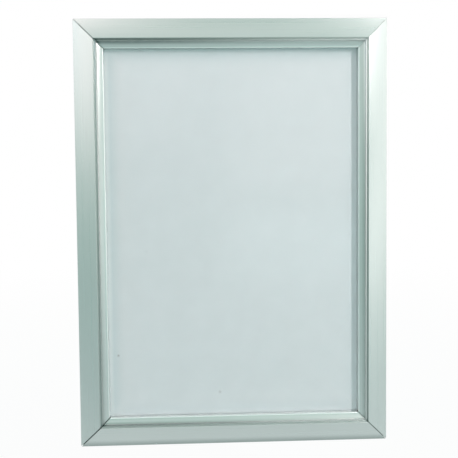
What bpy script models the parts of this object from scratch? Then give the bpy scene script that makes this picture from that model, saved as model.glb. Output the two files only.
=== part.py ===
"""Portrait aluminium snap frame for an A4 sheet, in metres, +Z up, front facing -Y, back on the plane y = 0.

Four mitred base rails carry a back panel, a blank insert and a clear cover sheet. A flap hooks over
the hinge pin of each rail, covers the rail's channel and presses on the cover sheet with its lip.
Corner angles and set screws join the rails, and leaf springs in the channels work on the flaps.

Every rail and flap is drawn as a cross-section of (u, h) points: u runs inward from the frame's outer
edge, h runs forward from the wall. Its third axis runs along the rail.
"""
import math

import bmesh
import bpy
from mathutils import Matrix, Vector

# Sheet sizes
paper_width = 0.210
paper_height = 0.297
panel_thickness = 0.0010
insert_thickness = 0.0002
cover_thickness = 0.0004
stack_gap = 0.00025
sheet_edge_gap = 0.0004

# Where the sheets lie under the frame
paper_inset = 0.0120
lip_overlap = 0.0100

# Hinge between a base rail and its flap
pin_radius = 0.00095
pin_clearance = 0.00025
hook_wall = 0.00095
pivot_height = 0.0050
neck_thickness = 0.0008
swing_clearance = 0.0003
hook_outer_end = math.radians(190)
hook_inner_end = math.radians(-15)
open_angle = math.radians(90)

# Base rail
flange_thickness = 0.0014
skirt_inset = 0.0002
skirt_wall = 0.0010
web_wall = 0.0010
rib_wall = 0.0010
rib_rise = 0.0003
ledge_setback = 0.0010
rail_gap = 0.0003

# Wall holes in the upright rails
hole_radius = 0.0022
hole_sink_radius = 0.0030
hole_sink_depth = 0.0008
hole_from_end = 0.0400

# Flap face: a shoulder above the hinge, then a slightly crowned slope up to the ridge at the groove
flap_wall = 0.0012
shoulder_rise = 0.00155
shoulder_radius = 0.0004
shoulder_slope = math.radians(22)
ridge_slope = math.radians(16.5)
ridge_inset = 0.01485
ridge_radius = 0.00035

# Flap groove, the bevel that rises out of it, and the hollow moulding that falls from there to the lip
groove_depth = 0.00085
groove_floor = 0.0003
groove_side_slope = math.radians(72)
bevel_slope = math.radians(32)
crest_drop = 0.00012
crest_radius = 0.00035
cove_start_slope = math.radians(68)
cove_bend_slope = math.radians(24)
cove_end_slope = math.radians(9)
cove_steep_share = 0.17
lip_radius = 0.00045
lip_wall = 0.0012
lip_gap = 0.00025

# Mitre joints between the flaps, as the photographed frame shows them
flap_gaps = {
    "top_left": 0.0003,
    "top_right": 0.00016,
    "bottom_right": 0.00034,
    "bottom_left": 0.0006,
}

# Corner angles and their set screws
angle_gap = 0.0003
angle_leg = 0.0240
angle_width = 0.0050
angle_thickness = 0.0022
angle_corner_radius = 0.0010
screw_radius = 0.0015
screw_length = 0.0026
screw_gap = 0.0003
screw_from_heel = 0.0160
socket_across = 0.0014
socket_depth = 0.0012
screw_chamfer = 0.0002

# Leaf springs
spring_thickness = 0.0004
spring_width = 0.0160
spring_gap = 0.0003
spring_place_shares = (-0.25, 0.25)

# How finely arcs are drawn, and how far a cutter runs past what it cuts
arc_steps = 20
fine_steps = 12
round_steps = 24
overrun = 0.001
weld_distance = 0.0000005

# Sizes that follow from the ones above
frame_width = paper_width + 2 * paper_inset
frame_height = paper_height + 2 * paper_inset
face_width = paper_inset + lip_overlap
socket_radius = pin_radius + pin_clearance
hook_radius = socket_radius + hook_wall
pivot_inset = hook_radius
shoulder_centre = (shoulder_radius, pivot_height + shoulder_rise)
shoulder_reach = math.hypot(pivot_inset - shoulder_radius, shoulder_rise) + shoulder_radius
panel_bottom = flange_thickness + stack_gap
insert_bottom = panel_bottom + panel_thickness + stack_gap
cover_bottom = insert_bottom + insert_thickness + stack_gap
cover_top = cover_bottom + cover_thickness
web_outer = pivot_inset + hook_radius * math.cos(hook_outer_end + open_angle) + swing_clearance
web_inner = web_outer + web_wall
rib_inner = paper_inset - sheet_edge_gap
rib_outer = rib_inner - rib_wall
rib_top = cover_top + rib_rise
channel_middle = (web_inner + rib_outer) / 2

# Each side: turn about the frame's centre, length, distance of its outer edge from the centre
sides = {
    "left": (0, frame_height, frame_width / 2),
    "top": (90, frame_width, frame_height / 2),
    "right": (180, frame_height, frame_width / 2),
    "bottom": (270, frame_width, frame_height / 2),
}
# The corner at the far end of each side's own axis, and the corner at its near end
far_corner = {"left": "bottom_left", "top": "top_left", "right": "top_right", "bottom": "bottom_right"}
near_corner = {"left": "top_left", "top": "top_right", "right": "bottom_right", "bottom": "bottom_left"}


def clear_scene():
    for thing in list(bpy.data.objects):
        bpy.data.objects.remove(thing, do_unlink=True)


def collection(name):
    group = bpy.data.collections.new(name)
    bpy.context.scene.collection.children.link(group)
    return group


def material(name, colour, roughness, metallic, alpha=1.0):
    made = bpy.data.materials.new(name)
    made.use_nodes = True
    shader = made.node_tree.nodes["Principled BSDF"]
    shader.inputs["Base Color"].default_value = (*colour, 1.0)
    shader.inputs["Roughness"].default_value = roughness
    shader.inputs["Metallic"].default_value = metallic
    shader.inputs["Alpha"].default_value = alpha
    return made


def side_matrix(side):
    """Local x runs inward, y forward from the wall and z along the side, from the middle of its outer edge."""
    turn, _, reach = sides[side]
    face_front = Matrix.Rotation(math.pi, 4, "X")
    return Matrix.Rotation(math.radians(turn), 4, "Y") @ Matrix.Translation((-reach, 0, 0)) @ face_front


def corner_matrix(side):
    """Local x and y run inward from the two outer edges that meet at the side's far corner, z forward."""
    length = sides[side][1]
    lay_flat = Matrix.Rotation(-math.pi / 2, 4, "X")
    return side_matrix(side) @ Matrix.Translation((0, 0, length / 2)) @ lay_flat


def arc(centre, radius, start, end, steps):
    """Points along an arc from one angle to another, in radians."""
    angles = [start + (end - start) * step / steps for step in range(steps + 1)]
    return [(centre[0] + radius * math.cos(a), centre[1] + radius * math.sin(a)) for a in angles]


def outline_mesh(name, outlines, thickness):
    """A flat outline, with any holes, given a thickness along its local z."""
    curve = bpy.data.curves.new(name, "CURVE")
    curve.dimensions = "2D"
    curve.fill_mode = "BOTH"
    curve.extrude = thickness / 2
    for points in outlines:
        spline = curve.splines.new("POLY")
        spline.points.add(len(points) - 1)
        spline.use_cyclic_u = True
        for point, (x, y) in zip(spline.points, points):
            point.co = (x, y, 0, 1)
    drawn = bpy.data.objects.new(name, curve)
    bpy.context.scene.collection.objects.link(drawn)
    mesh = evaluated_mesh(drawn)
    mesh.name = name
    bpy.data.objects.remove(drawn, do_unlink=True)
    edit = bmesh.new()
    edit.from_mesh(mesh)
    bmesh.ops.remove_doubles(edit, verts=edit.verts, dist=weld_distance)
    bmesh.ops.recalc_face_normals(edit, faces=edit.faces)
    edit.to_mesh(mesh)
    edit.free()
    return mesh


def evaluated_mesh(thing):
    graph = bpy.context.evaluated_depsgraph_get()
    return bpy.data.meshes.new_from_object(thing.evaluated_get(graph))


def trim(mesh, point, outward):
    """Cut away what lies past a plane and close the cut."""
    edit = bmesh.new()
    edit.from_mesh(mesh)
    everything = edit.verts[:] + edit.edges[:] + edit.faces[:]
    bmesh.ops.bisect_plane(
        edit, geom=everything, dist=weld_distance, plane_co=point, plane_no=outward, clear_outer=True
    )
    rim = [edge for edge in edit.edges if edge.is_boundary]
    bmesh.ops.holes_fill(edit, edges=rim, sides=0)
    bmesh.ops.recalc_face_normals(edit, faces=edit.faces)
    edit.to_mesh(mesh)
    edit.free()


def mitre(mesh, length, swing, gap, end):
    """Trim one end of a side to the corner's mitre plane, as that plane lies when the side has swung."""
    outward = Vector((math.cos(swing), -math.sin(swing), end)).normalized()
    pivot_at_corner = Vector((pivot_inset, pivot_height, end * (length / 2 - pivot_inset)))
    trim(mesh, pivot_at_corner - outward * gap / 2, outward)


def smooth(mesh, angle=math.radians(30)):
    mesh.shade_smooth()
    mesh.set_sharp_from_angle(angle=angle)


def place(name, mesh, matrix, finish, group):
    thing = bpy.data.objects.new(name, mesh)
    group.objects.link(thing)
    thing.matrix_world = matrix
    if not mesh.materials:
        mesh.materials.append(finish)
    return thing


def cut(thing, cutter):
    cutter.hide_render = True
    cutter.display_type = "WIRE"
    modifier = thing.modifiers.new("cut_" + cutter.name, "BOOLEAN")
    modifier.operation = "DIFFERENCE"
    modifier.object = cutter


def cone_mesh(name, radius_low, radius_high, depth, steps):
    """A closed cone or cylinder standing on z = 0."""
    mesh = bpy.data.meshes.new(name)
    edit = bmesh.new()
    bmesh.ops.create_cone(
        edit, cap_ends=True, segments=steps, radius1=radius_low, radius2=radius_high, depth=depth
    )
    bmesh.ops.translate(edit, verts=edit.verts, vec=(0, 0, depth / 2))
    edit.to_mesh(mesh)
    edit.free()
    return mesh


def rail_outline():
    """Skirt, back flange with ledge, rib beside the sheets, and the web and neck that carry the hinge pin."""
    pivot = Vector((pivot_inset, pivot_height))
    ledge_end = face_width - ledge_setback
    neck_angle = (hook_outer_end + open_angle + hook_inner_end + 2 * math.pi) / 2
    along = Vector((math.cos(neck_angle), math.sin(neck_angle)))
    across = Vector((-along.y, along.x)) * neck_thickness / 2
    upper = pivot + across
    lower = pivot - across
    web_top_inner = upper.y + (web_inner - upper.x) * along.y / along.x
    web_top_outer = lower.y + (web_outer - lower.x) * along.y / along.x
    half_neck = math.asin(neck_thickness / 2 / pin_radius)
    swing_radius = shoulder_reach + swing_clearance
    skirt_inner = skirt_inset + skirt_wall
    skirt_start = math.pi + math.acos((pivot_inset - skirt_inner) / swing_radius)
    skirt_end = math.pi + math.acos((pivot_inset - skirt_inset) / swing_radius)
    return [
        (skirt_inset, 0),
        (ledge_end, 0),
        (ledge_end, flange_thickness),
        (rib_inner, flange_thickness),
        (rib_inner, rib_top),
        (rib_outer, rib_top),
        (rib_outer, flange_thickness),
        (web_inner, flange_thickness),
        (web_inner, web_top_inner),
        *arc(pivot, pin_radius, neck_angle + half_neck - 2 * math.pi, neck_angle - half_neck, arc_steps),
        (web_outer, web_top_outer),
        (web_outer, flange_thickness),
        (skirt_inner, flange_thickness),
        *arc(pivot, swing_radius, skirt_start, skirt_end, fine_steps // 2),
    ]


def crown():
    """Centre and radius of the long arc that the face follows from its shoulder to the ridge."""
    start_u = shoulder_centre[0] - shoulder_radius * math.sin(shoulder_slope)
    start_h = shoulder_centre[1] + shoulder_radius * math.cos(shoulder_slope)
    radius = (ridge_inset - start_u) / (math.sin(shoulder_slope) - math.sin(ridge_slope))
    centre = (start_u + radius * math.sin(shoulder_slope), start_h - radius * math.cos(shoulder_slope))
    return centre, radius


def under_line():
    """The straight underside of the flap's face, from the hook to below the ridge."""
    centre, radius = crown()
    ends = (pivot_inset + hook_radius, ridge_inset - flap_wall)
    return [(u, centre[1] + math.sqrt((radius - flap_wall) ** 2 - (u - centre[0]) ** 2)) for u in ends]


def face_line():
    """The flap's visible line from the hook over the shoulder and the crowned face to the groove's ridge."""
    pivot = (pivot_inset, pivot_height)
    centre, radius = crown()
    ridge_u = ridge_inset - ridge_radius
    ridge_h = centre[1] + math.sqrt((radius - ridge_radius) ** 2 - (ridge_u - centre[0]) ** 2)
    lean = math.atan2(ridge_h - centre[1], ridge_u - centre[0])
    points = arc(pivot, hook_radius, hook_outer_end, math.pi, fine_steps // 4)
    points += arc(shoulder_centre, shoulder_radius, math.pi, math.pi / 2 + shoulder_slope, fine_steps)
    points += arc(centre, radius, math.pi / 2 + shoulder_slope, lean, fine_steps)[1:]
    points += arc((ridge_u, ridge_h), ridge_radius, lean, math.pi / 2 - groove_side_slope, fine_steps // 2)[1:]
    return points, ridge_h + ridge_radius


def groove_line(start, ridge_height):
    """The groove inside the ridge and the bevel up to a rounded crest, where the moulding begins."""
    floor_height = ridge_height - groove_depth
    floor_start = start[0] + (start[1] - floor_height) / math.tan(groove_side_slope)
    floor_end = floor_start + groove_floor
    crest_height = ridge_height - crest_drop - crest_radius
    bevel_rise = crest_height + crest_radius * math.cos(bevel_slope) - floor_height
    crest_u = floor_end + bevel_rise / math.tan(bevel_slope) + crest_radius * math.sin(bevel_slope)
    crest_start = math.pi / 2 + bevel_slope
    crest_end = math.pi / 2 - cove_start_slope
    crest = arc((crest_u, crest_height), crest_radius, crest_start, crest_end, fine_steps)
    return [(floor_start, floor_height), (floor_end, floor_height), *crest]


def cove_slope(share):
    """Slope of the hollow moulding at a share of its width: it eases quickly at first, then slowly."""
    if share < cove_steep_share:
        return cove_start_slope + (cove_bend_slope - cove_start_slope) * share / cove_steep_share
    rest = (share - cove_steep_share) / (1 - cove_steep_share)
    return cove_bend_slope + (cove_end_slope - cove_bend_slope) * rest


def cove_line(start):
    """The hollow moulding: it falls steeply from the crest and eases towards the lip's rounded edge."""
    lip_centre_u = face_width - lip_radius
    width = lip_centre_u + lip_radius * math.sin(cove_end_slope) - start[0]
    shares = [cove_steep_share * step / fine_steps for step in range(fine_steps)]
    shares += [cove_steep_share + (1 - cove_steep_share) * step / fine_steps for step in range(fine_steps + 1)]
    h = start[1]
    points = []
    for low, high in zip(shares, shares[1:]):
        h -= width * (high - low) * math.tan(cove_slope((low + high) / 2))
        points.append((start[0] + width * high, h))
    lip_centre = (lip_centre_u, h - lip_radius * math.cos(cove_end_slope))
    points += arc(lip_centre, lip_radius, math.pi / 2 - cove_end_slope, 0, fine_steps // 2)[1:]
    return points


def flap_outline():
    """Hook, face, groove, hollow moulding and lip, closed along the flap's underside and the hook's socket."""
    points, ridge_height = face_line()
    groove = groove_line(points[-1], ridge_height)
    cove = cove_line(groove[-1])
    lip_edge = cove[-fine_steps // 2 - 1]
    lip_foot = cover_top + lip_gap
    points += [*groove, *cove]
    points += [
        (face_width, lip_foot),
        (face_width - lip_wall, lip_foot),
        (face_width - lip_wall, lip_edge[1] - flap_wall),
        (groove[1][0], groove[1][1] - flap_wall),
        *reversed(under_line()),
    ]
    pivot = (pivot_inset, pivot_height)
    points += arc(pivot, hook_radius, 0, hook_inner_end, fine_steps // 4)
    points += arc(pivot, socket_radius, hook_inner_end, hook_outer_end, arc_steps)
    return points


def spring_outline():
    """A strip bent into a C: one leg on the flange, a round heel beside the web, one leg under the flap."""
    half = spring_thickness / 2
    start, end = under_line()
    slope = (end[1] - start[1]) / (end[0] - start[0])
    tilt = math.atan(slope)
    low = flange_thickness + spring_gap + half
    drop = (spring_gap + half) / math.cos(tilt)
    heel = pivot_inset + hook_radius + spring_gap + half
    under_heel = start[1] + (heel - start[0]) * slope
    bend = (under_heel - drop - low) / (1 / math.cos(tilt) + 1 - slope)
    centre = (heel + bend, low + bend)
    toe = rib_outer - spring_gap
    lean = math.pi / 2 + tilt
    outer = arc(centre, bend + half, 3 * math.pi / 2, lean, arc_steps)
    inner = arc(centre, bend - half, lean, 3 * math.pi / 2, arc_steps)
    upper_outer = (toe, outer[-1][1] + (toe - outer[-1][0]) * slope)
    upper_inner = (toe, inner[0][1] + (toe - inner[0][0]) * slope)
    return [(toe, low - half), *outer, upper_outer, upper_inner, *inner, (toe, low + half)]


def angle_outline():
    """An L with equal legs, its outer corner rounded, and one hole in each leg."""
    low = web_inner + angle_gap
    high = low + angle_width
    tip = low + angle_leg
    heel = (low + angle_corner_radius, low + angle_corner_radius)
    outline = [
        *arc(heel, angle_corner_radius, math.pi, 3 * math.pi / 2, fine_steps // 2),
        (tip, low),
        (tip, high),
        (high, high),
        (high, tip),
        (low, tip),
    ]
    bore = screw_radius + screw_gap
    holes = [arc(centre, bore, 0, 2 * math.pi, round_steps)[:-1] for centre in screw_centres()]
    return [outline, *holes]


def screw_centres():
    """The two screw places of a corner angle: the first on the side's own leg, the second on the crossing leg."""
    low = web_inner + angle_gap
    middle = low + angle_width / 2
    far = low + screw_from_heel
    return [(middle, far), (far, middle)]


def screw_mesh():
    """A set screw with a chamfered head and a hexagon socket."""
    shank = screw_length - screw_chamfer
    body = cone_mesh("screw_shank", screw_radius, screw_radius, shank, round_steps)
    edit = bmesh.new()
    edit.from_mesh(body)
    top = max(edit.faces, key=lambda face: face.calc_center_median().z)
    raised = bmesh.ops.extrude_discrete_faces(edit, faces=[top])["faces"][0]
    bmesh.ops.translate(edit, verts=raised.verts, vec=(0, 0, screw_chamfer))
    head_share = (screw_radius - screw_chamfer) / screw_radius
    bmesh.ops.scale(edit, verts=raised.verts, vec=(head_share, head_share, 1))
    low_rim = [edge for edge in edit.edges if edge.is_boundary]
    bmesh.ops.bridge_loops(edit, edges=low_rim)
    bmesh.ops.recalc_face_normals(edit, faces=edit.faces)
    edit.to_mesh(body)
    edit.free()
    shaped = bpy.data.objects.new("screw_shape", body)
    socket = cone_mesh("socket", socket_across / 2, socket_across / 2, socket_depth + overrun, 6)
    tool = bpy.data.objects.new("socket", socket)
    for thing in (shaped, tool):
        bpy.context.scene.collection.objects.link(thing)
    tool.location = (0, 0, screw_length - socket_depth)
    cut(shaped, tool)
    bpy.context.view_layer.update()
    mesh = evaluated_mesh(shaped)
    mesh.name = "set_screw"
    for thing in (shaped, tool):
        bpy.data.objects.remove(thing, do_unlink=True)
    return mesh


def add_rails(group, cutters, finish):
    for side, (_, length, _) in sides.items():
        mesh = outline_mesh("base_rail_" + side, [rail_outline()], length)
        for end in (-1, 1):
            mitre(mesh, length, 0, rail_gap, end)
        smooth(mesh)
        rail = place("base_rail_" + side, mesh, side_matrix(side), finish, group)
        if side in ("left", "right"):
            add_wall_holes(rail, side, length, cutters)


def add_wall_holes(rail, side, length, cutters):
    """Two countersunk holes through the flange, in the channel that the flap hides."""
    sink_reach = hole_sink_radius + (hole_sink_radius - hole_radius) * overrun / hole_sink_depth
    forward = Matrix.Rotation(-math.pi / 2, 4, "X")
    for end in (-1, 1):
        centre = Vector((channel_middle, 0, end * (length / 2 - hole_from_end)))
        bore = cone_mesh("bore", hole_radius, hole_radius, flange_thickness + 2 * overrun, round_steps)
        sink = cone_mesh("sink", hole_radius, sink_reach, hole_sink_depth + overrun, round_steps)
        starts = {"bore": -overrun, "sink": flange_thickness - hole_sink_depth}
        for kind, mesh in (("bore", bore), ("sink", sink)):
            spot = centre + Vector((0, starts[kind], 0))
            name = f"{kind}_{side}_{'upper' if (end > 0) == (side == 'right') else 'lower'}"
            tool = bpy.data.objects.new(name, mesh)
            cutters.objects.link(tool)
            tool.matrix_world = side_matrix(side) @ Matrix.Translation(spot) @ forward
            cut(rail, tool)


def add_flaps(group, finish):
    for side, (_, length, _) in sides.items():
        mesh = outline_mesh("flap_" + side, [flap_outline()], length)
        for end, corner in ((1, far_corner[side]), (-1, near_corner[side])):
            for swing in (0, open_angle):
                mitre(mesh, length, swing, flap_gaps[corner], end)
        to_pivot = Matrix.Translation((pivot_inset, pivot_height, 0))
        mesh.transform(to_pivot.inverted())
        smooth(mesh)
        place("flap_" + side, mesh, side_matrix(side) @ to_pivot, finish, group)


def add_corner_angles(group, angle_finish, screw_finish):
    angle_mesh = outline_mesh("corner_angle", angle_outline(), angle_thickness)
    angle_mesh.transform(Matrix.Translation((0, 0, angle_thickness / 2)))
    smooth(angle_mesh)
    screw = screw_mesh()
    smooth(screw)
    lift = Matrix.Translation((0, 0, flange_thickness + angle_gap))
    for side, corner in far_corner.items():
        upright_first = side in ("left", "right")
        legs = ("upright", "level") if upright_first else ("level", "upright")
        place("corner_angle_" + corner, angle_mesh, corner_matrix(side) @ lift, angle_finish, group)
        for leg, centre in zip(legs, screw_centres()):
            spot = Matrix.Translation((*centre, 0))
            name = f"set_screw_{corner}_{leg}"
            place(name, screw, corner_matrix(side) @ lift @ spot, screw_finish, group)


def add_springs(group, finish):
    mesh = outline_mesh("leaf_spring", [spring_outline()], spring_width)
    smooth(mesh)
    for side, (_, length, _) in sides.items():
        ends = {"left": ("upper", "lower"), "top": ("right", "left"), "right": ("lower", "upper")}
        names = ends.get(side, ("left", "right"))
        for end, share in zip(names, spring_place_shares):
            spot = Matrix.Translation((0, 0, share * length))
            place(f"leaf_spring_{side}_{end}", mesh, side_matrix(side) @ spot, finish, group)


def add_sheet(name, bottom, thickness, finish, group):
    """A flat sheet of the paper's size, its back at the given height above the wall."""
    bpy.ops.mesh.primitive_cube_add(size=1)
    sheet = bpy.context.object
    sheet.name = name
    sheet.data.name = name
    for owner in list(sheet.users_collection):
        owner.objects.unlink(sheet)
    group.objects.link(sheet)
    sheet.data.transform(Matrix.Diagonal((paper_width, thickness, paper_height, 1)))
    sheet.location = (0, -(bottom + thickness / 2), 0)
    sheet.data.materials.append(finish)


def build():
    clear_scene()
    frame = collection("snap_frame")
    cutters = collection("cutters")
    anodised = material("anodised_aluminium", (0.74, 0.78, 0.76), 0.34, 1.0)
    mill = material("rail_aluminium", (0.66, 0.69, 0.68), 0.42, 1.0)
    plated = material("zinc_plated_steel", (0.60, 0.60, 0.58), 0.40, 1.0)
    spring_steel = material("spring_steel", (0.42, 0.42, 0.44), 0.30, 1.0)
    styrene = material("white_styrene", (0.80, 0.82, 0.82), 0.50, 0.0)
    paper = material("blank_paper", (0.80, 0.84, 0.86), 0.85, 0.0)
    clear = material("clear_sheet", (0.90, 0.95, 0.97), 0.12, 0.0, alpha=0.25)
    add_rails(frame, cutters, mill)
    add_flaps(frame, anodised)
    add_corner_angles(frame, plated, spring_steel)
    add_springs(frame, spring_steel)
    add_sheet("back_panel", panel_bottom, panel_thickness, styrene, frame)
    add_sheet("insert_sheet", insert_bottom, insert_thickness, paper, frame)
    add_sheet("cover_sheet", cover_bottom, cover_thickness, clear, frame)


build()
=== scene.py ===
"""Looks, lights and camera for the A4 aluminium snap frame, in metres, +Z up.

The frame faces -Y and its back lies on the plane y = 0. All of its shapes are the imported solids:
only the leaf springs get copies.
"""
import math

import bpy
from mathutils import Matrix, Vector


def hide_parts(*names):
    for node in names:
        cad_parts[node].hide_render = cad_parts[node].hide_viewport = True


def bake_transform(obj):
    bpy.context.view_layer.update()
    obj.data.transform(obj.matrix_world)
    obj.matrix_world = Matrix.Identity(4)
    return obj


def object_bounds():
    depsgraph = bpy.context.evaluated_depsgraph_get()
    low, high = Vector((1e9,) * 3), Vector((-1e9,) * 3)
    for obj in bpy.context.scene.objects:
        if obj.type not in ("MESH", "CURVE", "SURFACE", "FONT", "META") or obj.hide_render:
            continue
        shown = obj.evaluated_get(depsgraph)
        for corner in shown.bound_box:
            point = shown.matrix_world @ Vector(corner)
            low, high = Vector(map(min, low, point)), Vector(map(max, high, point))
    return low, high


SIDES = ("left", "top", "right", "bottom")
UPRIGHT_SIDES = ("left", "right")
CORNERS = ("top_left", "top_right", "bottom_right", "bottom_left")
# Each side's outer edge: the axis across it, that axis's sense inward, and its distance from the
# centre
EDGES = {
    "left": ("X", 1, 0.1170),
    "right": ("X", -1, 0.1170),
    "top": ("Z", -1, 0.1605),
    "bottom": ("Z", 1, 0.1605),
}
FACE_WIDTH = 0.022
WHITE = (1, 1, 1)

# Camera: where the photograph was taken from
CAMERA_PLACE = (-0.0529, -0.8139, 0.0671)
CAMERA_TURN_DEGREES = (85.507, 0.542, -3.576)
CAMERA_LENS_MM = 84.6

# Smoothing of the solids
WELD_DISTANCE = 0.00001
SHARP_DEGREES = 30

# Noises: grains per metre, alike along all axes, then detail and roughness
CLOUDS = (22, 4.0, 0.55)
GROOVE_SHADE_PATCHES = (300, 3.0, 0.55)
PLATE_PATCHES = (900, 5.0, 0.7)
PAPER_MOTTLE = (60, 6.0, 0.65)
PAPER_FIBRES = (4000, 4.0, 0.7)
COVER_HAZE = (700, 3.0, 0.55)
PANEL_MOTTLE = (120, 4.0, 0.55)
PANEL_GRAIN = (2500, 3.0, 0.55)
# The stretch of a noise's values that is put to use
NOISE_LOW = 0.3
NOISE_HIGH = 0.7

# Die lines: grains per metre along each axis for a rail that runs along X or Z
DIE_LINES_ACROSS = 3500
DIE_LINES_ALONG = 6
DIE_LINES_SCALE = {
    "X": (DIE_LINES_ALONG, DIE_LINES_ACROSS, DIE_LINES_ACROSS),
    "Z": (DIE_LINES_ACROSS, DIE_LINES_ACROSS, DIE_LINES_ALONG),
}
DIE_LINES_DETAIL = 2.0
DIE_LINES_ROUGHNESS = 0.55
CLOUDS_SHARE = 0.5

# Bumps: distance and strength
DIE_LINES_BUMP = (0.00001, 0.12)
PLATE_BUMP = (0.00002, 0.3)
FIBRES_BUMP = (0.00002, 0.15)
PANEL_BUMP = (0.00003, 0.2)

# Metals: each look's colour where its noise is high and where it is low, and its roughness
SATIN_METAL = ((0.60, 0.625, 0.61), (0.57, 0.60, 0.585), 0.30)
MILL_METAL = ((0.60, 0.63, 0.62), (0.54, 0.57, 0.56), 0.40)
ZINC_PLATE = ((0.62, 0.61, 0.57), (0.48, 0.47, 0.44), 0.38)
SPRING_STEEL = ((0.44, 0.44, 0.46), (0.36, 0.36, 0.38), 0.30)
DRAWN_ROUGHNESS_SPREAD = 0.03
PLATE_SMOOTHER = 0.08
PLATE_ROUGHER = 0.1

# Flap metal: dirt and painted shade, and the painted highlight on its lip, as distances from the
# outer edge
DIRT_AND_SHADE_COLOUR = (0.075, 0.12, 0.11)
GROOVE_SHADE_LEAST = 0.93
GROOVE_SHADE_MOST = 1.07
LIP_HIGHLIGHT_COLOUR = (0.91, 0.94, 0.92)
LIP_HIGHLIGHT_FROM = 0.0213
LIP_HIGHLIGHT_TO = 0.0216
# Painted shade across the groove and the start of the moulding, in place of its shading by the
# lamps:
# places, as distances from the outer edge, and the share of painted shade there on each side
GROOVE_PLACES = (0.0147, 0.0150, 0.0155, 0.0161, 0.0168, 0.0174, 0.0182, 0.0197)
GROOVE_SHADE = {
    "left": (0.00, 0.00, 0.30, 0.62, 0.30, 0.34, 0.26, 0.05),
    "right": (0.00, 0.45, 0.40, 0.15, 0.05, 0.42, 0.28, 0.00),
    "top": (0.00, 0.50, 0.65, 0.68, 0.45, 0.60, 0.45, 0.00),
    "bottom": (0.00, 0.00, 0.10, 0.30, 0.55, 0.45, 0.15, 0.00),
}
# How much of that painted shade there is along each side, more towards the left and bottom ends:
# axis, then a place and its share, twice
GROOVE_SHADE_ALONG = {
    "left": ("Z", 0.12, 0.70, -0.10, 1.00),
    "right": ("Z", 0.14, 0.20, 0.02, 1.00),
    "top": ("X", 0.08, 0.20, -0.09, 1.20),
    "bottom": ("X", 0.08, 0.25, -0.08, 1.20),
}
# Dirt in the mitre cuts: width and share, and how far from a cut painted shade is added to the
# groove
MITRE_DIRT_AND_SHADE = {
    "top_left": (0.0010, 0.70),
    "top_right": (0.0006, 0.30),
    "bottom_right": (0.0009, 0.70),
    "bottom_left": (0.0011, 0.85),
}
CORNER_SHADE_REACH = 0.0035
# Painted shade on the downward-facing outer edge of the bottom flap: width and share
OUTER_SHADE = {"bottom": (0.0055, 0.45)}

# Blank paper, and specks of dust under the cover: across, up, radius, share
PAPER_COLOUR = (0.757, 0.811, 0.790)
PAPER_DARK_COLOUR = (0.743, 0.797, 0.776)
PAPER_LIGHT_COLOUR = (0.773, 0.827, 0.806)
PAPER_ROUGHNESS = 0.8
SPECKS = (
    (-0.0878, -0.0920, 0.0015, 0.55),
    (-0.0109, -0.1216, 0.0018, 0.27),
    (-0.0653, -0.0130, 0.0018, 0.10),
)
SPECK_COLOUR = (0.20, 0.18, 0.15)
# Painted shade on the paper's rim beside the lips: its width, and on each side how far in it
# starts, and its share
RIM_SHADE_WIDTH = 0.014
RIM_SHADE_SOFTNESS = 0.003
RIM_SHADES = {"left": (0.0045, 0.26), "top": (0.0, 0.17), "right": (0.0, 0.07), "bottom": (0.0, 0.16)}
RIM_SHADE_COLOUR = (0.24, 0.44, 0.46)

# Clear cover sheet, and what it does to light that goes straight through it
COVER_COLOUR = (0.97, 0.99, 1.0)
COVER_ROUGHNESS = 0.10
COVER_ROUGHNESS_LOW = 0.08
COVER_ROUGHNESS_HIGH = 0.14
COVER_IOR = 1.46
COVER_STRAIGHT_COLOUR = (0.97, 0.985, 0.99)

# Back panel
PANEL_COLOUR = (0.80, 0.82, 0.82)
PANEL_DARK_COLOUR = (0.77, 0.79, 0.79)
PANEL_LIGHT_COLOUR = (0.82, 0.84, 0.84)
PANEL_ROUGHNESS = 0.5
PANEL_ROUGHNESS_LOW = 0.42
PANEL_ROUGHNESS_HIGH = 0.58

# Backdrop, by a direction's share along +Y: grey-green in front up to one share, and white behind
# from the other
ROOM_COLOUR = (0.41, 0.63, 0.575)
ROOM_COLOUR_TO = -0.55
WHITE_FROM = -0.12
# The backdrop's strength where it is seen, and as a light
SEEN_STRENGTH = 1.0
LIGHT_STRENGTH = 0.08

# Floor: plain far in front, turning white towards the frame and the backdrop's colour far away.
# Its white has a tint in front of the frame. All places are along Y, but the fade's are distances.
FLOOR_DROP = 0.050
FLOOR_SIZE = 16.0
FLOOR_COLOUR = (0.50, 0.745, 0.71)
FLOOR_ROUGHNESS = 0.8
FLOOR_FRONT_COLOUR = (0.92, 1.0, 1.0)
FLOOR_FRONT_FROM = 0.0
FLOOR_FRONT_TO = 0.12
FLOOR_WHITE_SHARE = 0.95
FLOOR_WHITE_FROM = -0.575
FLOOR_WHITE_TO = 0.13
FLOOR_FADE_FROM = 0.15
FLOOR_FADE_TO = 1.8

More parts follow.
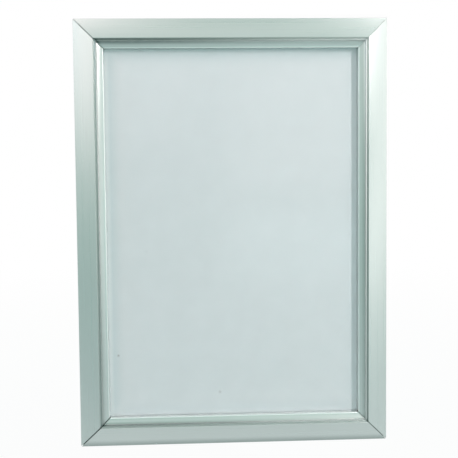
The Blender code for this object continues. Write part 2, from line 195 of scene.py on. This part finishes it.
# Lamps: name, degrees to the viewer's right of straight ahead, degrees up, width, height, watts
# and colour
LAMP_DISTANCE = 1.3
WARM = (1.0, 0.88, 0.90)
WARMER = (1.0, 0.78, 0.82)
NEUTRAL = (1.0, 0.93, 0.945)
COOL = (0.85, 0.96, 1.0)
BLUISH = (0.70, 0.88, 1.0)
LAMPS = (
    ("right_low_box", 42, -8, 0.75, 0.30, 0.96, WARM),
    ("right_wide_box", 58, 10, 0.40, 0.65, 0.57, WARM),
    ("right_side_box", 75, 8, 0.40, 0.60, 1.20, WARM),
    ("key_strip_lower", 39.5, 25, 0.10, 0.45, 7.3, WARM),
    ("key_strip_upper", 39.5, 50, 0.10, 0.45, 1.9, WARM),
    ("front_right_box", 14, 10, 0.50, 0.50, 0.43, WARM),
    ("front_left_box", -10, 12, 0.50, 0.40, 0.28, WARM),
    ("left_front_box", -29, 22, 0.35, 0.35, 0.28, WARMER),
    ("front_low_box", 14, -8, 0.50, 0.25, 0.24, COOL),
    ("left_box", -45, 12, 0.50, 0.40, 0.84, WARMER),
    ("left_upper_box", -42, 30, 0.60, 0.40, 1.35, WARMER),
    ("left_side_box", -68, 26, 0.40, 0.60, 2.4, BLUISH),
    ("left_high_box", -36, 56, 0.60, 0.40, 1.6, WARMER),
    ("top_box", -5, 46, 0.60, 0.30, 0.27, WARMER),
    ("back_right_box", 140, 35, 0.60, 0.60, 5.0, NEUTRAL),
    ("back_left_box", 220, 35, 0.60, 0.60, 5.0, NEUTRAL),
)


def add_node(tree, kind, inputs=None, **settings):
    """A shader node with its settings and the values of its unlinked inputs."""
    made = tree.nodes.new(kind)
    for name, value in settings.items():
        setattr(made, name, value)
    for name, value in (inputs or {}).items():
        made.inputs[name].default_value = value
    return made


def new_material(name, colour, roughness, **inputs):
    """A material with plain values, some of which noise later varies, its node tree and its shader.

    The other inputs are the shader's own, in small letters with underscores.
    """
    material = bpy.data.materials.new(name)
    material.use_nodes = True
    shader = material.node_tree.nodes["Principled BSDF"]
    shader.inputs["Base Color"].default_value = (*colour, 1)
    shader.inputs["Roughness"].default_value = roughness
    for input_name, value in inputs.items():
        shader.inputs[input_name.replace("_", " ").title()].default_value = value
    return material, material.node_tree, shader


def object_place(tree):
    return add_node(tree, "ShaderNodeTexCoord").outputs["Object"]


def component(tree, vector, axis):
    split = add_node(tree, "ShaderNodeSeparateXYZ")
    tree.links.new(vector, split.inputs["Vector"])
    return split.outputs[axis]


def calculate(tree, operation, *values):
    """One step of arithmetic on numbers or on other steps' results."""
    step = add_node(tree, "ShaderNodeMath", operation=operation)
    for socket, value in zip(step.inputs, values):
        if isinstance(value, (int, float)):
            socket.default_value = value
        else:
            tree.links.new(value, socket)
    return step.outputs["Value"]


def stretched_noise(tree, grains_xyz, detail, roughness):
    """Noise in the part's own coordinates, with its own grains per metre along each axis."""
    mapping = add_node(tree, "ShaderNodeMapping", {"Scale": grains_xyz})
    values = {"Scale": 1.0, "Detail": detail, "Roughness": roughness}
    noise = add_node(tree, "ShaderNodeTexNoise", values)
    tree.links.new(object_place(tree), mapping.inputs["Vector"])
    tree.links.new(mapping.outputs["Vector"], noise.inputs["Vector"])
    return noise.outputs["Fac"]


def even_noise(tree, grains, detail, roughness):
    return stretched_noise(tree, (grains, grains, grains), detail, roughness)


def map_range(tree, value, low_from, low_to, high_from, high_to, **settings):
    """Turns a value between the two froms into one between the two tos."""
    limits = {"From Min": low_from, "To Min": low_to, "From Max": high_from, "To Max": high_to}
    ranged = add_node(tree, "ShaderNodeMapRange", limits, **settings)
    tree.links.new(value, ranged.inputs["Value"])
    return ranged.outputs["Result"]


def map_smoothly(tree, value, *limits):
    """The same with soft ends."""
    return map_range(tree, value, *limits, interpolation_type="SMOOTHSTEP")


def spread(tree, noise, low, high):
    """The noise's middle stretch, turned into a number between low and high."""
    return map_range(tree, noise, NOISE_LOW, low, NOISE_HIGH, high)


def tint(tree, share, colour_low, colour_high):
    """Mixes two written colours by a share."""
    ends = {"A": (*colour_low, 1), "B": (*colour_high, 1)}
    mix = add_node(tree, "ShaderNodeMix", ends, data_type="RGBA")
    tree.links.new(share, mix.inputs["Factor"])
    return mix.outputs["Result"]


def mix_colours(tree, share, colour, other):
    """Turns the first colour, a socket, into the other by a share held between 0 and 1."""
    mix = add_node(tree, "ShaderNodeMix", {"B": (*other, 1)}, data_type="RGBA", clamp_factor=True)
    tree.links.new(share, mix.inputs["Factor"])
    tree.links.new(colour, mix.inputs["A"])
    return mix.outputs["Result"]


def bump(tree, height, shader, distance, strength):
    raised = add_node(tree, "ShaderNodeBump", {"Distance": distance, "Strength": strength})
    tree.links.new(height, raised.inputs["Height"])
    tree.links.new(raised.outputs["Normal"], shader.inputs["Normal"])


def mix_surfaces(tree, share, surface, other):
    """Makes the material a mix of two surfaces, all of the other where the share is 1."""
    mix = add_node(tree, "ShaderNodeMixShader")
    tree.links.new(share, mix.inputs["Fac"])
    tree.links.new(surface, mix.inputs[1])
    tree.links.new(other, mix.inputs[2])
    tree.links.new(mix.outputs["Shader"], tree.nodes["Material Output"].inputs["Surface"])


def from_edge(tree, side):
    """Distance inward from one of the closed frame's four outer edges."""
    axis, sense, reach = EDGES[side]
    return calculate(tree, "MULTIPLY_ADD", component(tree, object_place(tree), axis), sense, reach)


def run_of(side):
    """The axis that a side's rail and flap run along."""
    return "Z" if side in UPRIGHT_SIDES else "X"


def drawn_metal(name, along, colour, dark_colour, roughness):
    """Extruded aluminium: fine die lines along the rail, slow changes of tone and a satin skin."""
    material, tree, shader = new_material(name, colour, roughness, metallic=1.0)
    scale = DIE_LINES_SCALE[along]
    lines = stretched_noise(tree, scale, DIE_LINES_DETAIL, DIE_LINES_ROUGHNESS)
    mixed = add_node(tree, "ShaderNodeMix", {"Factor": CLOUDS_SHARE})
    tree.links.new(lines, mixed.inputs["A"])
    tree.links.new(even_noise(tree, *CLOUDS), mixed.inputs["B"])
    tone = spread(tree, mixed.outputs["Result"], 0.0, 1.0)
    tree.links.new(tint(tree, tone, dark_colour, colour), shader.inputs["Base Color"])
    smoothest = roughness - DRAWN_ROUGHNESS_SPREAD
    roughest = roughness + DRAWN_ROUGHNESS_SPREAD
    tree.links.new(spread(tree, lines, smoothest, roughest), shader.inputs["Roughness"])
    bump(tree, lines, shader, *DIE_LINES_BUMP)
    return material


def section_shade(tree, side, inward):
    """The painted shade across a flap's section, as a ramp over the distance from its outer edge.
    """
    ramp = add_node(tree, "ShaderNodeValToRGB")
    stops = ramp.color_ramp.elements
    for place, share in zip(GROOVE_PLACES, GROOVE_SHADE[side]):
        stops.new(place / FACE_WIDTH).color = (share, share, share, 1)
    stops[0].color = (0, 0, 0, 1)
    stops[-1].color = (0, 0, 0, 1)
    tree.links.new(calculate(tree, "DIVIDE", inward, FACE_WIDTH), ramp.inputs["Fac"])
    return ramp.outputs["Color"]


def mitre_dirt_and_shade(tree, side, inward):
    """The dirt in a flap's two mitre cuts, and the wider painted shade near them for its groove."""
    upright = side in UPRIGHT_SIDES
    in_cuts = 0.0
    shade_near_cuts = 0.0
    for other in ("top", "bottom") if upright else ("left", "right"):
        corner = f"{other}_{side}" if upright else f"{side}_{other}"
        width, share = MITRE_DIRT_AND_SHADE[corner]
        to_cut = calculate(tree, "SUBTRACT", from_edge(tree, other), inward)
        in_cut = map_smoothly(tree, to_cut, 0.0, share, width, 0.0)
        # painted shade in the groove near the cut
        shade_near_cut = map_smoothly(tree, to_cut, 0.0, share, CORNER_SHADE_REACH, 0.0)
        in_cuts = calculate(tree, "MAXIMUM", in_cut, in_cuts)
        shade_near_cuts = calculate(tree, "MAXIMUM", shade_near_cut, shade_near_cuts)
    return in_cuts, shade_near_cuts


def flap_metal(side):
    """Satin metal with painted shade in its groove and on the bottom flap's outer edge, dirt in its
    mitre cuts, and a painted highlight on its lip.
    """
    material = drawn_metal("satin_anodised_" + side, run_of(side), *SATIN_METAL)
    tree = material.node_tree
    shader = tree.nodes["Principled BSDF"]
    inward = from_edge(tree, side)
    dirt_and_shade, shade_near_cuts = mitre_dirt_and_shade(tree, side, inward)
    axis, *ends = GROOVE_SHADE_ALONG[side]
    along = map_smoothly(tree, component(tree, object_place(tree), axis), *ends)
    along = calculate(tree, "ADD", along, shade_near_cuts)
    patches = spread(tree, even_noise(tree, *GROOVE_SHADE_PATCHES), GROOVE_SHADE_LEAST, GROOVE_SHADE_MOST)
    level = calculate(tree, "MULTIPLY", along, patches)
    # painted shade in the groove and at the start of the moulding, stronger near the mitre cuts
    groove_shade = calculate(tree, "MULTIPLY", section_shade(tree, side, inward), level)
    dirt_and_shade = calculate(tree, "MAXIMUM", dirt_and_shade, groove_shade)
    # painted shade on the bottom flap's outer edge
    if side in OUTER_SHADE:
        width, share = OUTER_SHADE[side]
        outer_shade = map_smoothly(tree, inward, 0.0, share, width, 0.0)
        dirt_and_shade = calculate(tree, "MAXIMUM", dirt_and_shade, outer_shade)
    # painted highlight: brighter metal on the lip, for the light that it reflects
    lip_highlight = map_smoothly(tree, inward, LIP_HIGHLIGHT_FROM, 0.0, LIP_HIGHLIGHT_TO, 1.0)
    clean = shader.inputs["Base Color"].links[0].from_socket
    bright = mix_colours(tree, lip_highlight, clean, LIP_HIGHLIGHT_COLOUR)
    # dirt in the cuts and painted shade darken the metal
    tree.links.new(mix_colours(tree, dirt_and_shade, bright, DIRT_AND_SHADE_COLOUR), shader.inputs["Base Color"])
    return material


def plated_steel(name, colour, dark_colour, roughness):
    """Small steel pieces: patches of tone and of gloss."""
    material, tree, shader = new_material(name, colour, roughness, metallic=1.0)
    patches = even_noise(tree, *PLATE_PATCHES)
    tone = spread(tree, patches, 0.0, 1.0)
    tree.links.new(tint(tree, tone, dark_colour, colour), shader.inputs["Base Color"])
    gloss = spread(tree, patches, roughness - PLATE_SMOOTHER, roughness + PLATE_ROUGHER)
    tree.links.new(gloss, shader.inputs["Roughness"])
    bump(tree, patches, shader, *PLATE_BUMP)
    return material


def paper_rim_shade(tree):
    """The share of painted shade on the paper's rim beside the lips."""
    rim_shade = 0.0
    for side, (start, share) in RIM_SHADES.items():
        inward = from_edge(tree, side)
        start += FACE_WIDTH
        near = map_smoothly(tree, inward, FACE_WIDTH, share, FACE_WIDTH + RIM_SHADE_WIDTH, 0.0)
        inside = map_smoothly(tree, inward, start - RIM_SHADE_SOFTNESS, 0.0, start, 1.0)
        rim_shade = calculate(tree, "MAXIMUM", calculate(tree, "MULTIPLY", near, inside), rim_shade)
    return rim_shade


def squared_from(tree, axis, place):
    away = calculate(tree, "SUBTRACT", component(tree, object_place(tree), axis), place)
    return calculate(tree, "POWER", away, 2.0)


def paper_material():
    """Blank paper: faint mottling, fibre roughness, painted shade along its rim and a few dust
    specks.
    """
    material, tree, shader = new_material("blank_paper_look", PAPER_COLOUR, PAPER_ROUGHNESS)
    mottle = spread(tree, even_noise(tree, *PAPER_MOTTLE), 0.0, 1.0)
    colour = tint(tree, mottle, PAPER_DARK_COLOUR, PAPER_LIGHT_COLOUR)
    # painted shade on the paper's rim beside the lips
    colour = mix_colours(tree, paper_rim_shade(tree), colour, RIM_SHADE_COLOUR)
    for across, up, radius, share in SPECKS:
        aside = squared_from(tree, "X", across)
        above = squared_from(tree, "Z", up)
        away = calculate(tree, "SQRT", calculate(tree, "ADD", aside, above))
        speck = map_smoothly(tree, away, 0.0, share, radius, 0.0)
        colour = mix_colours(tree, speck, colour, SPECK_COLOUR)
    tree.links.new(colour, shader.inputs["Base Color"])
    bump(tree, even_noise(tree, *PAPER_FIBRES), shader, *FIBRES_BUMP)
    return material


def cover_material():
    """Clear low-glare sheet that bends and mirrors light, and lets lamps reach the insert."""
    material, tree, shader = new_material(
        "clear_sheet_look", COVER_COLOUR, COVER_ROUGHNESS, transmission_weight=1.0
    )
    shader.inputs["IOR"].default_value = COVER_IOR
    haze = even_noise(tree, *COVER_HAZE)
    gloss = spread(tree, haze, COVER_ROUGHNESS_LOW, COVER_ROUGHNESS_HIGH)
    tree.links.new(gloss, shader.inputs["Roughness"])
    path = add_node(tree, "ShaderNodeLightPath")
    straight = add_node(tree, "ShaderNodeBsdfTransparent", {"Color": (*COVER_STRAIGHT_COLOUR, 1)})
    lighting = [path.outputs[kind] for kind in ("Is Shadow Ray", "Is Diffuse Ray")]
    either = calculate(tree, "MAXIMUM", *lighting)
    mix_surfaces(tree, either, shader.outputs["BSDF"], straight.outputs["BSDF"])
    return material


def panel_material():
    """Smooth matt styrene."""
    material, tree, shader = new_material("white_styrene_look", PANEL_COLOUR, PANEL_ROUGHNESS)
    mottle = spread(tree, even_noise(tree, *PANEL_MOTTLE), 0.0, 1.0)
    colour = tint(tree, mottle, PANEL_DARK_COLOUR, PANEL_LIGHT_COLOUR)
    tree.links.new(colour, shader.inputs["Base Color"])
    grain = even_noise(tree, *PANEL_GRAIN)
    gloss = spread(tree, grain, PANEL_ROUGHNESS_LOW, PANEL_ROUGHNESS_HIGH)
    tree.links.new(gloss, shader.inputs["Roughness"])
    bump(tree, grain, shader, *PANEL_BUMP)
    return material


def dress(node, material):
    for slot in node.material_slots:
        slot.material = material


def smooth_by_angle(node):
    """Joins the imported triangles, splits them at sharp edges and lets wide faces lead shading."""
    mesh = node.data
    if "custom_normal" in mesh.attributes:
        mesh.attributes.remove(mesh.attributes["custom_normal"])
    mesh.polygons.foreach_set("use_smooth", [True] * len(mesh.polygons))
    weld = node.modifiers.new("weld", "WELD")
    weld.merge_threshold = WELD_DISTANCE
    split = node.modifiers.new("sharp_edges", "EDGE_SPLIT")
    split.split_angle = math.radians(SHARP_DEGREES)
    node.modifiers.new("wide_faces_lead", "WEIGHTED_NORMAL")


def bend_springs(nodes, material):
    """Gives each leaf spring a dressed, smooth-shaded copy, free of its parent and rig tags, and
    hides the imported leaf.
    """
    for side in SIDES:
        for name in [node for node in nodes if node.startswith(f"leaf_spring_{side}_")]:
            leaf = nodes[name].copy()
            leaf.data = nodes[name].data.copy()
            leaf.name = name + "_bending"
            leaf.parent = None
            for tag in [key for key in leaf.keys() if key.startswith("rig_")]:
                del leaf[tag]
            bpy.context.scene.collection.objects.link(leaf)
            dress(leaf, material)
            smooth_by_angle(leaf)
            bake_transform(leaf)
            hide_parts(name)


def dress_part(nodes):
    """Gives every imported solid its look."""
    rail_looks = {axis: drawn_metal("mill_aluminium_" + axis, axis, *MILL_METAL) for axis in "XZ"}
    plated = plated_steel("zinc_plate_look", *ZINC_PLATE)
    spring = plated_steel("spring_steel_look", *SPRING_STEEL)
    for side in SIDES:
        dress(nodes["flap_" + side], flap_metal(side))
        dress(nodes["base_rail_" + side], rail_looks[run_of(side)])
    for corner in CORNERS:
        dress(nodes["corner_angle_" + corner], plated)
        for leg in ("upright", "level"):
            dress(nodes[f"set_screw_{corner}_{leg}"], spring)
    dress(nodes["back_panel"], panel_material())
    dress(nodes["insert_sheet"], paper_material())
    dress(nodes["cover_sheet"], cover_material())
    for name, node in nodes.items():
        if name.startswith(("flap_", "base_rail_", "corner_angle_", "set_screw_")):
            smooth_by_angle(node)
    bend_springs(nodes, spring)


def area_light(name, direction, width, height, watts, colour):
    """A soft box that faces the frame's centre from the lamps' distance."""
    lamp = bpy.data.lights.new(name, "AREA")
    lamp.shape = "RECTANGLE"
    lamp.size = width
    lamp.size_y = height
    lamp.energy = watts
    lamp.color = colour
    holder = bpy.data.objects.new(name, lamp)
    holder.location = direction * LAMP_DISTANCE
    holder.rotation_euler = (-holder.location).to_track_quat("-Z", "Y").to_euler()
    bpy.context.scene.collection.objects.link(holder)


def light_scene():
    """Soft boxes on a sphere round the frame."""
    for name, turn_degrees, rise_degrees, width, height, watts, colour in LAMPS:
        turn = math.radians(turn_degrees)
        rise = math.radians(rise_degrees)
        reach = math.cos(rise)
        direction = Vector((math.sin(turn) * reach, -math.cos(turn) * reach, math.sin(rise)))
        area_light(name, direction, width, height, watts, colour)


def seen_rays(tree):
    """1 for camera, mirror and glass rays, which see the white backdrop, and 0 for all others."""
    path = add_node(tree, "ShaderNodeLightPath")
    seen = path.outputs["Is Camera Ray"]
    for kind in ("Is Glossy Ray", "Is Transmission Ray"):
        seen = calculate(tree, "MAXIMUM", seen, path.outputs[kind])
    return seen


def backdrop_colour(tree, direction):
    """The backdrop's colour in a direction."""
    depth = component(tree, direction, "Y")
    share = map_smoothly(tree, depth, ROOM_COLOUR_TO, 0.0, WHITE_FROM, 1.0)
    return tint(tree, share, ROOM_COLOUR, WHITE)


def light_world():
    """The pale backdrop, at full strength where it is seen and dim as a light."""
    world = bpy.data.worlds.new("studio")
    bpy.context.scene.world = world
    world.use_nodes = True
    tree = world.node_tree
    direction = add_node(tree, "ShaderNodeTexCoord").outputs["Generated"]
    background = tree.nodes["Background"]
    tree.links.new(backdrop_colour(tree, direction), background.inputs["Color"])
    level = map_range(tree, seen_rays(tree), 0.0, LIGHT_STRENGTH, 1.0, SEEN_STRENGTH)
    tree.links.new(level, background.inputs["Strength"])


def floor_material():
    """Floor that keeps the frame's shadow, whiter near it, and becomes the backdrop far away."""
    material, tree, shader = new_material("floor_look", FLOOR_COLOUR, FLOOR_ROUGHNESS)
    place = object_place(tree)
    depth = component(tree, place, "Y")
    distance = add_node(tree, "ShaderNodeVectorMath", operation="LENGTH")
    direction = add_node(tree, "ShaderNodeVectorMath", operation="NORMALIZE")
    for node in (distance, direction):
        tree.links.new(place, node.inputs[0])
    fade = (FLOOR_FADE_FROM, 0.0, FLOOR_FADE_TO, 1.0)
    far = map_smoothly(tree, distance.outputs["Value"], *fade)
    near = map_smoothly(tree, depth, FLOOR_WHITE_FROM, 0.0, FLOOR_WHITE_TO, FLOOR_WHITE_SHARE)
    share = map_smoothly(tree, distance.outputs["Value"], *fade)
    tree.links.new(near, share.node.inputs["To Min"])
    behind = map_smoothly(tree, depth, FLOOR_FRONT_FROM, 0.0, FLOOR_FRONT_TO, 1.0)
    colour = add_node(tree, "ShaderNodeMix", data_type="RGBA")
    tree.links.new(far, colour.inputs["Factor"])
    tree.links.new(tint(tree, behind, FLOOR_FRONT_COLOUR, WHITE), colour.inputs["A"])
    tree.links.new(backdrop_colour(tree, direction.outputs["Vector"]), colour.inputs["B"])
    backdrop = add_node(tree, "ShaderNodeEmission", {"Strength": SEEN_STRENGTH})
    tree.links.new(colour.outputs["Result"], backdrop.inputs["Color"])
    share = calculate(tree, "MULTIPLY", share, seen_rays(tree))
    mix_surfaces(tree, share, shader.outputs["BSDF"], backdrop.outputs["Emission"])
    return material


def lay_floor():
    low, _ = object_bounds()
    bpy.ops.mesh.primitive_plane_add(size=FLOOR_SIZE, location=(0, 0, low.z - FLOOR_DROP))
    floor = bpy.context.object
    floor.name = "floor"
    floor.data.materials.append(floor_material())


def add_camera():
    data = bpy.data.cameras.new("camera")
    data.lens = CAMERA_LENS_MM
    camera = bpy.data.objects.new("camera", data)
    camera.location = CAMERA_PLACE
    camera.rotation_euler = [math.radians(angle) for angle in CAMERA_TURN_DEGREES]
    bpy.context.scene.collection.objects.link(camera)
    bpy.context.scene.camera = camera


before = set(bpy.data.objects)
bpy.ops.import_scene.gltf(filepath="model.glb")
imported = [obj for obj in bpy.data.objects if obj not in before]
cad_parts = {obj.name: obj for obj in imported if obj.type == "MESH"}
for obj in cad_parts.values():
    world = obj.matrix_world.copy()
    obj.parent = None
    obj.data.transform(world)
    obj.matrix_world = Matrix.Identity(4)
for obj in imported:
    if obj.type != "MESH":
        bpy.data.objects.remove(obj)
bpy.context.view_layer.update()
bpy.context.scene.view_settings.view_transform = "Standard"
dress_part(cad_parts)
lay_floor()
light_scene()
light_world()
add_camera()
